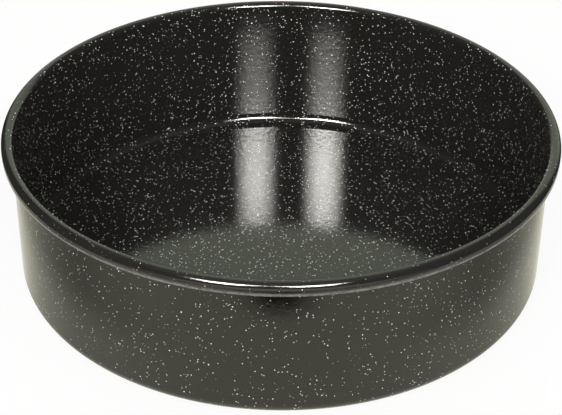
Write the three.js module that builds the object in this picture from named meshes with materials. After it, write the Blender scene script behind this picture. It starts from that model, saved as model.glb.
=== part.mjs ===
// Round cake pan: one deep-drawn steel shell with a rolled rim, enamelled inside and out.
// Millimetres, +Z up. The origin is the centre of the base, on the surface the pan stands on.
import * as THREE from "three";

const { degToRad } = THREE.MathUtils;

// Pan, measured on the finished enamel
const mouthDiameter = 260; // across the top of the wall, enamel to enamel
const overallHeight = 76; // from the base to the crown of the rim
const wallDraft = degToRad(0.3); // lean of the wall, so that the pan leaves its die
const floorCorner = 5; // inside radius between floor and wall

// Rolled rim, measured on its outer face
const rimRoll = 3; // radius of the bends over the crown and under the skirt
const rimSkirt = 1.5; // straight drop between those bends
const rimSlit = 0.8; // left open between the rolled edge and the wall

// Sheet and coats
const steelGauge = 0.6;
const groundCoat = 0.12; // first firing, which bonds to the steel
const coverCoat = 0.18; // second firing, the black glaze with white flecks
const layerSeam = 0.01; // hairline between one layer and the next

// Fineness of the round faces
const segmentsRound = 56;
const bendStep = degToRad(30);

// Depth at which each layer begins, from the glaze inside the pan to the glaze outside it
const insideGroundAt = coverCoat + layerSeam;
const steelAt = insideGroundAt + groundCoat + layerSeam;
const outsideGroundAt = steelAt + steelGauge + layerSeam;
const outsideCoverAt = outsideGroundAt + groundCoat + layerSeam;
const sheetThickness = outsideCoverAt + coverCoat;

// The section of the pan is one line that the sheet follows, made of straights and bends.
// Every layer is the same line moved sideways, so the layers lie parallel all the way.
class SheetLine {
  constructor(start) {
    this.start = start;
    this.runs = [];
  }

  straight(length) {
    this.runs.push({ length, turn: 0 });
    return this;
  }

  // A bend turns left for a positive angle and right for a negative one.
  bend(radius, turn) {
    this.runs.push({ radius, turn });
    return this;
  }

  // Points of the line moved to its right by depth.
  points(depth) {
    const rightOf = (angle) => new THREE.Vector2(Math.sin(angle), -Math.cos(angle));
    let heading = 0;
    let at = this.start.clone();
    const traced = [at.clone().addScaledVector(rightOf(heading), depth)];
    for (const { length, radius, turn } of this.runs) {
      if (turn === 0) {
        at.add(new THREE.Vector2(Math.cos(heading), Math.sin(heading)).multiplyScalar(length));
        traced.push(at.clone().addScaledVector(rightOf(heading), depth));
      } else {
        const reach = Math.sign(turn) * radius;
        const centre = at.clone().addScaledVector(rightOf(heading), -reach);
        const steps = Math.ceil(Math.abs(turn) / bendStep);
        for (let step = 1; step <= steps; step += 1) {
          const angle = heading + (turn * step) / steps;
          traced.push(centre.clone().addScaledVector(rightOf(angle), reach + depth));
        }
        heading += turn;
        at = centre.addScaledVector(rightOf(heading), reach);
      }
    }
    return traced;
  }
}

// What is left of the height for the wall, and of the mouth for the flat floor.
const wallLength =
  (overallHeight - sheetThickness - (floorCorner + rimRoll) * (1 - Math.sin(wallDraft))) /
  Math.cos(wallDraft);
const floorRadius =
  mouthDiameter / 2 - wallLength * Math.sin(wallDraft) - floorCorner * Math.cos(wallDraft);

// Floor, corner, wall and the bend up to the crown of the rim.
function lineToCrown() {
  return new SheetLine(new THREE.Vector2(0, sheetThickness))
    .straight(floorRadius)
    .bend(floorCorner, Math.PI / 2 - wallDraft)
    .straight(wallLength)
    .bend(rimRoll, wallDraft - Math.PI / 2);
}

// The sheet goes on over the crown, down the skirt, and in under the rim towards the wall.
const rimTuck = Math.acos((sheetThickness + rimSlit - rimRoll) / rimRoll);
const rolledLine = lineToCrown()
  .bend(rimRoll, -Math.PI / 2)
  .straight(rimSkirt)
  .bend(rimRoll, -rimTuck);

// The coats outside the pan end under the crown, in the hollow that the roll closes round.
const hollowLine = lineToCrown();

const pan = new THREE.Group();

// One layer of the sheet, turned about the pan's axis.
function addLayer(name, line, depth, thickness, finish) {
  const section = [...line.points(depth + thickness), ...line.points(depth).reverse()];
  const geometry = new THREE.LatheGeometry(section, segmentsRound).rotateX(Math.PI / 2);
  const mesh = new THREE.Mesh(geometry, new THREE.MeshStandardMaterial(finish));
  mesh.name = name;
  pan.add(mesh);
}

const bareSteel = { color: 0x8a8a86, roughness: 0.45, metalness: 1 };
const groundGlaze = { color: 0x1a1c24, roughness: 0.4, metalness: 0 };
const blackGlaze = { color: 0x141513, roughness: 0.13, metalness: 0 };

// Drawn shell: floor, wall and rolled rim are one pressing.
addLayer("steel_shell", rolledLine, steelAt, steelGauge, bareSteel);

// Ground coats, fired on to the two faces of the steel.
addLayer("inside_ground_coat", rolledLine, insideGroundAt, groundCoat, groundGlaze);
addLayer("outside_ground_coat", hollowLine, outsideGroundAt, groundCoat, groundGlaze);

// Cover coats, the glaze that shows. The one inside runs on over the rim.
addLayer("inside_cover_coat", rolledLine, 0, coverCoat, blackGlaze);
addLayer("outside_cover_coat", hollowLine, outsideCoverAt, coverCoat, blackGlaze);

export default pan;
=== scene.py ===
import math

import bpy
from mathutils import Matrix, Vector


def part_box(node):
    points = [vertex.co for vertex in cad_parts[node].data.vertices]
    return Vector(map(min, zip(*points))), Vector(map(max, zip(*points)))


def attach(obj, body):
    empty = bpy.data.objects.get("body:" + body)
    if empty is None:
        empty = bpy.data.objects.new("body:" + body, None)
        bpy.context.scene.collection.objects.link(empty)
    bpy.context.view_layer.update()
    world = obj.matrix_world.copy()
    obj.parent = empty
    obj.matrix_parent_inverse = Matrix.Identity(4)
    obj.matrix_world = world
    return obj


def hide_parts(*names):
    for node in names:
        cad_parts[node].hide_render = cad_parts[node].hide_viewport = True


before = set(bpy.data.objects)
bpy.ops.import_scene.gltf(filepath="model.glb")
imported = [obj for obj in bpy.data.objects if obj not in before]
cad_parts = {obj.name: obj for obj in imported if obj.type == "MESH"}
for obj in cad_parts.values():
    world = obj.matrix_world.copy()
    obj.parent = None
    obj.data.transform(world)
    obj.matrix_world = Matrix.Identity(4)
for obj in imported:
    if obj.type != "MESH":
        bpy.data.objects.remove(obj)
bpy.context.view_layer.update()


# Steel shell
# One pressing of thin sheet: floor, corner, wall and the rim rolled over into a hollow bead.
# All five layers of the pan follow the same line, so the line and the turning of it start here.
cover_coat = 0.00018
ground_coat = 0.00012
steel_gauge = 0.0006
layer_seam = 0.00001
inside_ground_at = cover_coat + layer_seam
steel_at = inside_ground_at + ground_coat + layer_seam
outside_ground_at = steel_at + steel_gauge + layer_seam
outside_cover_at = outside_ground_at + ground_coat + layer_seam
floor_top = outside_cover_at + cover_coat
rim_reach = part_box("inside_cover_coat")[1].x
crown_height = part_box("inside_cover_coat")[1].z
floor_corner = 0.005
rim_roll = 0.003
rim_skirt = 0.0015
rim_slit = 0.0008
wall_draft = math.radians(0.3)
end_ring = 0.0005  # a ring this close to a bend keeps the bend's shading off the straight
sharp_edge = math.radians(50)


def sheet_line(depth, bend_step, rolled):
    """Points (radius, height) of the sheet's line, moved outwards from the inside glaze by depth."""
    wall = crown_height - floor_top - (floor_corner + rim_roll) * (1 - math.sin(wall_draft))
    wall /= math.cos(wall_draft)
    mouth = rim_reach - rim_roll * (1 + math.cos(wall_draft))
    floor = mouth - wall * math.sin(wall_draft) - floor_corner * math.cos(wall_draft)
    quarter = math.pi / 2
    # Straights are (length, 0). Bends are (radius, turn), with both below zero where they turn right.
    runs = [(floor, 0), (floor_corner, quarter - wall_draft)]
    runs += [(wall, 0), (-rim_roll, wall_draft - quarter)]
    if rolled:
        tuck = math.acos((floor_top + rim_slit - rim_roll) / rim_roll)
        runs += [(-rim_roll, -quarter), (rim_skirt, 0), (-rim_roll, -tuck)]
    heading = 0.0
    at = Vector((0, floor_top))
    points = []

    def right_of(angle):
        return Vector((math.sin(angle), -math.cos(angle)))

    for size, turn in runs:
        if turn == 0:
            along = Vector((math.cos(heading), math.sin(heading)))
            near_end = min(end_ring, size / 3)
            stations = (0, near_end, size / 2, size - near_end)
            points += [at + along * station + right_of(heading) * depth for station in stations]
            at = at + along * size
        else:
            centre = at - right_of(heading) * size
            steps = math.ceil(abs(turn) / bend_step)
            for step in range(steps):
                points.append(centre + right_of(heading + turn * step / steps) * (size + depth))
            heading += turn
            at = centre + right_of(heading) * size
    return points + [at + right_of(heading) * depth]


def turned_layer(name, node, depth, thickness, rolled, bend_step, segments):
    """A closed layer of the sheet, turned about the pan's axis, in place of a CAD node."""
    section = sheet_line(depth + thickness, bend_step, rolled)
    section += sheet_line(depth, bend_step, rolled)[::-1]
    rings = section[1:-1]
    angles = [2 * math.pi * i / segments for i in range(segments)]
    verts = [(r * math.sin(angle), -r * math.cos(angle), z) for r, z in rings for angle in angles]
    verts += [(0, 0, section[0].y), (0, 0, section[-1].y)]
    under, over = len(verts) - 2, len(verts) - 1
    last = (len(rings) - 1) * segments
    faces = []
    for i in range(segments):
        j = (i + 1) % segments
        faces += [(under, j, i), (over, last + i, last + j)]
        for ring in range(0, last, segments):
            faces.append((ring + i, ring + j, ring + segments + j, ring + segments + i))
    mesh = bpy.data.meshes.new(name)
    mesh.from_pydata(verts, [], faces)
    mesh.shade_smooth()
    mesh.set_sharp_from_angle(angle=sharp_edge)
    layer = bpy.data.objects.new(name, mesh)
    bpy.context.collection.objects.link(layer)
    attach(layer, "root")
    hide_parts(node)
    return layer


class Wire:
    """An output in a shader tree. Sums, differences and products of wires become Math nodes."""

    def __init__(self, tree, output=None):
        self.tree = tree
        self.output = output

    def node(self, kind, settings, sockets, output=0):
        """Adds any other node, and returns one of its outputs."""
        made = self.tree.nodes.new(kind)
        for name, value in settings.items():
            setattr(made, name, value)
        for name, value in sockets.items():
            if isinstance(value, Wire):
                value.feed(made.inputs[name])
            else:
                made.inputs[name].default_value = value
        return Wire(self.tree, made.outputs[output] if made.outputs else None)

    def twin(self, output):
        """Another output of the same node."""
        return Wire(self.tree, self.output.node.outputs[output])

    def feed(self, socket):
        self.tree.links.new(self.output, socket)

    def math(self, operation, first, second=0.0):
        return self.node("ShaderNodeMath", {"operation": operation}, {0: first, 1: second})

    def __add__(self, other):
        return self.math("ADD", self, other)

    def __radd__(self, other):
        return self.math("ADD", other, self)

    def __sub__(self, other):
        return self.math("SUBTRACT", self, other)

    def __rsub__(self, other):
        return self.math("SUBTRACT", other, self)

    def __mul__(self, other):
        return self.math("MULTIPLY", self, other)

    def __rmul__(self, other):
        return self.math("MULTIPLY", other, self)


def new_finish(layer, name):
    """Gives a layer a new material. Returns its shader's sockets, and the place on the pan as a wire."""
    material = bpy.data.materials.new(name)
    material.use_nodes = True
    layer.data.materials.append(material)
    tree = material.node_tree
    place = Wire(tree).node("ShaderNodeTexCoord", {}, {}, "Object")
    return tree.nodes["Principled BSDF"].inputs, place


def noise(place, size, detail):
    """Cloudy noise from 0 to 1, with clouds of about the given size."""
    return place.node("ShaderNodeTexNoise", {}, {"Vector": place, "Scale": 1 / size, "Detail": detail})


def mixed(share, first, second):
    """A colour between two others, by a share from 0 to 1."""
    # A Mix node's colours are its sockets 6 and 7, and their mix is its output 2.
    return share.node("ShaderNodeMix", {"data_type": "RGBA"}, {"Factor": share, 6: first, 7: second}, 2)


def relief(height, depth):
    """A bumped normal, where a height of 1 stands the given depth above a height of 0."""
    return height.node("ShaderNodeBump", {}, {"Height": height, "Strength": 1.0, "Distance": depth})


hidden_fineness = (math.radians(10), 96)  # step round the bends, and segments round the pan
dark_steel = (0.20, 0.20, 0.19, 1)
light_steel = (0.32, 0.32, 0.31, 1)
drawing_grain = 0.0011
drawing_depth = 0.000006
steel = turned_layer("steel_sheet", "steel_shell", steel_at, steel_gauge, True, *hidden_fineness)
shader, place = new_finish(steel, "drawn_steel")
drawn = noise(place, drawing_grain, 3.0)
mixed(drawn, dark_steel, light_steel).feed(shader["Base Color"])
(drawn * 0.2 + 0.35).feed(shader["Roughness"])
relief(drawn, drawing_depth).feed(shader["Normal"])
shader["Metallic"].default_value = 1.0


# Ground coats
# Blue-black enamel fired straight on to the steel, inside and outside. It bonds the cover coats.
ground_dark = (0.007, 0.008, 0.014, 1)
ground_light = (0.013, 0.014, 0.022, 1)
ground_cloud = 0.0033
ground_depth = 0.000012
for side, at, rolled in (("inside", inside_ground_at, True), ("outside", outside_ground_at, False)):
    name, node = f"{side}_ground_enamel", f"{side}_ground_coat"
    ground = turned_layer(name, node, at, ground_coat, rolled, *hidden_fineness)
    shader, place = new_finish(ground, f"{side}_ground_glaze")
    cloud = noise(place, ground_cloud, 2.0)
    mixed(cloud, ground_dark, ground_light).feed(shader["Base Color"])
    (cloud * 0.2 + 0.3).feed(shader["Roughness"])
    relief(cloud, ground_depth).feed(shader["Normal"])


# Cover coats
# Glossy black glass over the ground coats, fired with white flecks in it, so the flecks take its gloss.
# The one inside runs on over the rim. On the tight bend under it the glaze is thin and painted pale grey,
# and that grey is also a painted reflection.
shown_fineness = (math.radians(5), 160)
# One black glaze in two copies: painted lighter inside the pan and darker outside, as painted light and
# painted shade
lit_inside_blacks = (0.0122, 0.0114, 0.0104, 1), (0.0170, 0.0155, 0.0137, 1)
shaded_outside_blacks = (0.0008, 0.0009, 0.0006, 1), (0.0024, 0.0022, 0.0010, 1)
thin_glaze_and_reflection_grey = (0.13, 0.13, 0.12, 1)
fleck_white = (0.88, 0.89, 0.90, 1)
fleck_edge = 0.00004
rim_flecks = 0.55  # size of the flecks on the rim, as a share of the others'
rim_band = (rim_reach - 0.0045, rim_reach - 0.0035)
skirt_foot = crown_height - rim_roll - rim_skirt
thin_and_reflection_band = (skirt_foot + 0.0004, skirt_foot - 0.0008)
thin_and_reflection_patches = (0.2, 0.6)
glaze_cloud = 0.011
peel_size = 0.0024
peel_depth = 0.00005
glass_ior = 1.6


def ramp(value, start, end, low=0.0, high=1.0):
    """A value that runs from low to high while the given one runs from start to end."""
    span = {"Value": value, "From Min": start, "From Max": end, "To Min": low, "To Max": high}
    return value.node("ShaderNodeMapRange", {}, span)


def split(place):
    """The three coordinates of a place."""
    x = place.node("ShaderNodeSeparateXYZ", {}, {"Vector": place}, "X")
    return x, x.twin("Y"), x.twin("Z")


def flecks(place, cell, largest):
    """Round flecks in cells of the given size, the largest with the given radius, and most much smaller."""
    lookup = {"Vector": place, "Scale": 1 / cell, "Randomness": 1.0}
    distance = place.node("ShaderNodeTexVoronoi", {}, lookup, "Distance")
    chance = place.node("ShaderNodeSeparateColor", {}, {"Color": distance.twin("Color")}, "Red")
    # A cell's colour also places its fleck, so it is scrambled before it sets the size.
    chance = place.math("FRACT", chance * 37.0)
    return ramp(distance * cell - chance * chance * chance * largest, 0.0, -fleck_edge)


for side, at, rolled, cell, largest, (cold_black, warm_black) in (
    ("inside", 0.0, True, 0.00102, 0.00037, lit_inside_blacks),
    ("outside", outside_cover_at, False, 0.00107, 0.00029, shaded_outside_blacks),
):
    name, node = f"{side}_cover_enamel", f"{side}_cover_coat"
    cover = turned_layer(name, node, at, cover_coat, rolled, *shown_fineness)
    shader, place = new_finish(cover, f"{side}_black_glaze")
    x, y, z = split(place)
    cloud = noise(place, glaze_cloud, 3.0)
    peel = noise(place, peel_size, 2.0)
    rim = ramp(x * x + y * y, rim_band[0] ** 2, rim_band[1] ** 2)
    # Painted reflection: a pale grey band on the rim's lower bend, which also stands for the thin glaze
    # there
    thin_and_reflection = rim * ramp(z, *thin_and_reflection_band) * ramp(peel, *thin_and_reflection_patches)
    glass = mixed(thin_and_reflection, mixed(cloud, cold_black, warm_black), thin_glaze_and_reflection_grey)
    fleck = flecks(place, cell, ramp(rim, 0.0, 1.0, largest, largest * rim_flecks))
    mixed(fleck, glass, fleck_white).feed(shader["Base Color"])
    (cloud * 0.06 + 0.07).feed(shader["Roughness"])
    relief(peel, peel_depth).feed(shader["Normal"])
    shader["IOR"].default_value = glass_ior


# Stage
# A white table in a studio with a white wall at the back. In reflections the table shows a painted pool of
# light close round the pan.
# Above and in front, the studio is dim.
unlit = (0, 0, 0, 1)
white = (1, 1, 1, 1)
table_half = 6.0
table_white = (0.90, 0.90, 0.89, 1)
table_tint = (1, 0.98, 0.80, 1)
own_light = 0.9  # of the table that the camera sees, the share that takes no shadow


def stage_sheet(name, left, right, foot, top):
    """A flat sheet that isn't part of the pan. Returns it, and the place on it as a wire."""
    mesh = bpy.data.meshes.new(name)
    corners = [(left, foot, 0), (right, foot, 0), (right, top, 0), (left, top, 0)]
    mesh.from_pydata(corners, [], [(0, 1, 2, 3)])
    sheet = bpy.data.objects.new(name, mesh)
    bpy.context.collection.objects.link(sheet)
    material = bpy.data.materials.new(f"{name}_surface")
    material.use_nodes = True
    material.node_tree.nodes.clear()
    mesh.materials.append(material)
    return sheet, Wire(material.node_tree).node("ShaderNodeTexCoord", {}, {}, "Object")


def rays(place):
    """Wires that are 1 for what the camera sees, and 1 for what a glossy or clear surface shows."""
    seen = place.node("ShaderNodeLightPath", {}, {}, "Is Camera Ray")
    return seen, seen.twin("Is Glossy Ray") + seen.twin("Is Transmission Ray")


# How bright the table's painted glow is in reflections, and where that fades, in metres from the pan's axis
patch_levels = (0.42, 0.90)
glow_level = 0.7
rest_level = 0.03
lit_patch = (0.245, 0.228)
foot_glow = (0.175, 0.150)
front_glow = (-0.09, -0.16)
back_glow = (-0.06, 0.03)
dark_strip_aside = (0.055, 0.010)
dark_strip_in_front = (-0.199, -0.217)
far_aside = (0.35, 0.25)
far_in_front = (-0.238, -0.250)
table, spot = stage_sheet("table", -table_half, table_half, -table_half, table_half)
seen, mirrored = rays(spot)
x, y, _ = split(spot)
radius = spot.math("SQRT", x * x + y * y)
aside = spot.math("ABSOLUTE", x)
# Painted pool of light, seen only in reflections: brightest round the pan's foot, and in front of and
# behind it
close = ramp(radius, *foot_glow, 0.0, glow_level) + ramp(y, *front_glow)
close = close + ramp(y, *back_glow, 0.0, glow_level)
# Painted dark strip on the table just in front of the pan, seen only in reflections; the outer wall mirrors
# it as a dark smudge under the rim
painted_dark_strip = ramp(aside, *dark_strip_aside) * ramp(y, *dark_strip_in_front)
patch = ramp(close, 0.0, 1.0, *patch_levels) * ramp(radius, *lit_patch) * (1 - painted_dark_strip)
bright = patch + ramp(y, *far_in_front) * ramp(aside, *far_aside) + rest_level
tint = mixed(mirrored, white, table_tint)
glow = spot.node("ShaderNodeEmission", {}, {"Color": mixed(seen + mirrored * bright, unlit, tint)})
paint = spot.node("ShaderNodeBsdfDiffuse", {}, {"Color": table_white})
surface = spot.node("ShaderNodeMixShader", {}, {0: seen * own_light + mirrored, 1: paint, 2: glow})
spot.node("ShaderNodeOutputMaterial", {}, {"Surface": surface})

# Where the wall fades, aside and upwards, as shares of the distance to it. It is tallest in the middle.
wall_side = (0.0, 0.1)
wall_left = (-0.58, -0.30)
low_right, low_top = (1.30, 0.75), (0.92, 0.82)
tall_right, tall_top = (0.60, 0.40), (2.4, 1.7)
wall_lift, wall_levels = (0.8, 1.2), (0.8, 1.0)
ceiling_edge, ceiling_levels = (0.75, 0.90), (0.05, 0.25)
wall_tint = (0.91, 1, 0.79, 1)
fill_light = 0.7
world = bpy.data.worlds.new("studio")
bpy.context.scene.world = world
world.use_nodes = True
world.node_tree.nodes.clear()
towards = Wire(world.node_tree).node("ShaderNodeTexCoord", {}, {}, "Generated")
seen, mirrored = rays(towards)
x, y, z = split(towards)
aside = towards.math("DIVIDE", x, y)
rise = towards.math("DIVIDE", z, y)
low = ramp(aside, *low_right) * ramp(rise, *low_top)
tall = ramp(aside, *tall_right) * ramp(rise, *tall_top)
wall = ramp(y, *wall_side) * ramp(aside, *wall_left) * towards.math("MAXIMUM", low, tall)
ceiling = ramp(z, *ceiling_edge, *ceiling_levels)
shown = wall * ramp(rise, *wall_lift, *wall_levels) + ceiling
bright = seen + mirrored * shown + (1 - seen - mirrored) * fill_light
tint = mixed(mirrored * wall, white, wall_tint)
sky = towards.node("ShaderNodeBackground", {}, {"Color": mixed(bright, unlit, tint)})
towards.node("ShaderNodeOutputWorld", {}, {"Surface": sky})


# Lights
# Two softboxes in front, one on each side of the camera, that fade to their sides.
# Below each one is the dimmer skirt of its cloth, and above it a dim, wide hood.
box_away = 2.0
box_rise = math.radians(37.0)
lamp_half = 0.3
side_loss = 0.35
lamp_foot = (-0.15, -0.13)
lamp_top = (0.075, 0.065)
lamp_fall, lamp_levels = (-0.13, 0.07), (0.92, 0.644)
skirt_fall, skirt_levels = (-0.30, -0.17), (0.20, 0.08)
skirt_end = -0.34
hood_foot = (0.06, 0.10)
hood_end = 0.35
hood_side = (0.42, 0.34)
hood_level = 0.18
matt_share = 0.4  # of the lamps' light, what reaches matt surfaces
cloth_white = (1.0, 0.98, 0.92, 1)
for side, azimuth, level in (("right", 12.4, 152.0), ("left", -21.7, 180.0)):
    softbox, spot = stage_sheet(f"softbox_{side}", -hood_side[0], hood_side[0], skirt_end, hood_end)
    around = math.radians(azimuth)
    level_away = Vector((math.sin(around), -math.cos(around), 0)) * math.cos(box_rise)
    away = level_away + Vector((0, 0, math.sin(box_rise)))
    softbox.location = away * box_away
    softbox.rotation_mode = "QUATERNION"
    softbox.rotation_quaternion = away.to_track_quat("Z", "Y")
    softbox.visible_camera = False
    x, y, _ = split(spot)
    seen, mirrored = rays(spot)
    bounces = seen.twin("Glossy Depth")
    aside = x * x * (1 / lamp_half**2)
    lamp = ramp(y, *lamp_foot) * ramp(y, *lamp_fall, *lamp_levels)
    skirt = ramp(y, *skirt_fall, *skirt_levels)
    front = (lamp + skirt) * ramp(y, *lamp_top) * ramp(aside, 1.0, 0.0) * (1 - aside * side_loss)
    hood = ramp(y, *hood_foot) * ramp(spot.math("ABSOLUTE", x), *hood_side) * hood_level
    # The front shows up to the second mirror bounce, and the hood only in the first.
    bright = front * ramp(mirrored, 0.0, 1.0, matt_share, 1.0) * ramp(bounces, 2.6, 2.4)
    bright = bright + hood * mirrored * ramp(bounces, 1.6, 1.4)
    colour = mixed(bright, unlit, cloth_white)
    cloth = spot.node("ShaderNodeEmission", {}, {"Color": colour, "Strength": level})
    spot.node("ShaderNodeOutputMaterial", {}, {"Surface": cloth})


# Camera
# At the photograph's height and distance, looking slightly below the pan's middle.
image_width = 562
focal_pixels = 1600
mouth_height = 0.073  # the camera's distance and rise are measured from the middle of the mouth
camera_away = 0.7854
camera_rise = math.radians(30.416)
lens = bpy.data.cameras.new("camera")
lens.sensor_width = 36
lens.lens = focal_pixels * lens.sensor_width / image_width
camera = bpy.data.objects.new("camera", lens)
back = -camera_away * math.cos(camera_rise)
camera.location = (0, back, mouth_height + camera_away * math.sin(camera_rise))
turn = Matrix.Rotation(math.radians(-0.023), 4, "Z")
tilt = Matrix.Rotation(math.radians(90 - 33.304), 4, "X")
roll = Matrix.Rotation(math.radians(0.573), 4, "Z")
camera.rotation_euler = (turn @ tilt @ roll).to_euler()
bpy.context.collection.objects.link(camera)
bpy.context.scene.camera = camera
bpy.context.scene.view_settings.view_transform = "Standard"
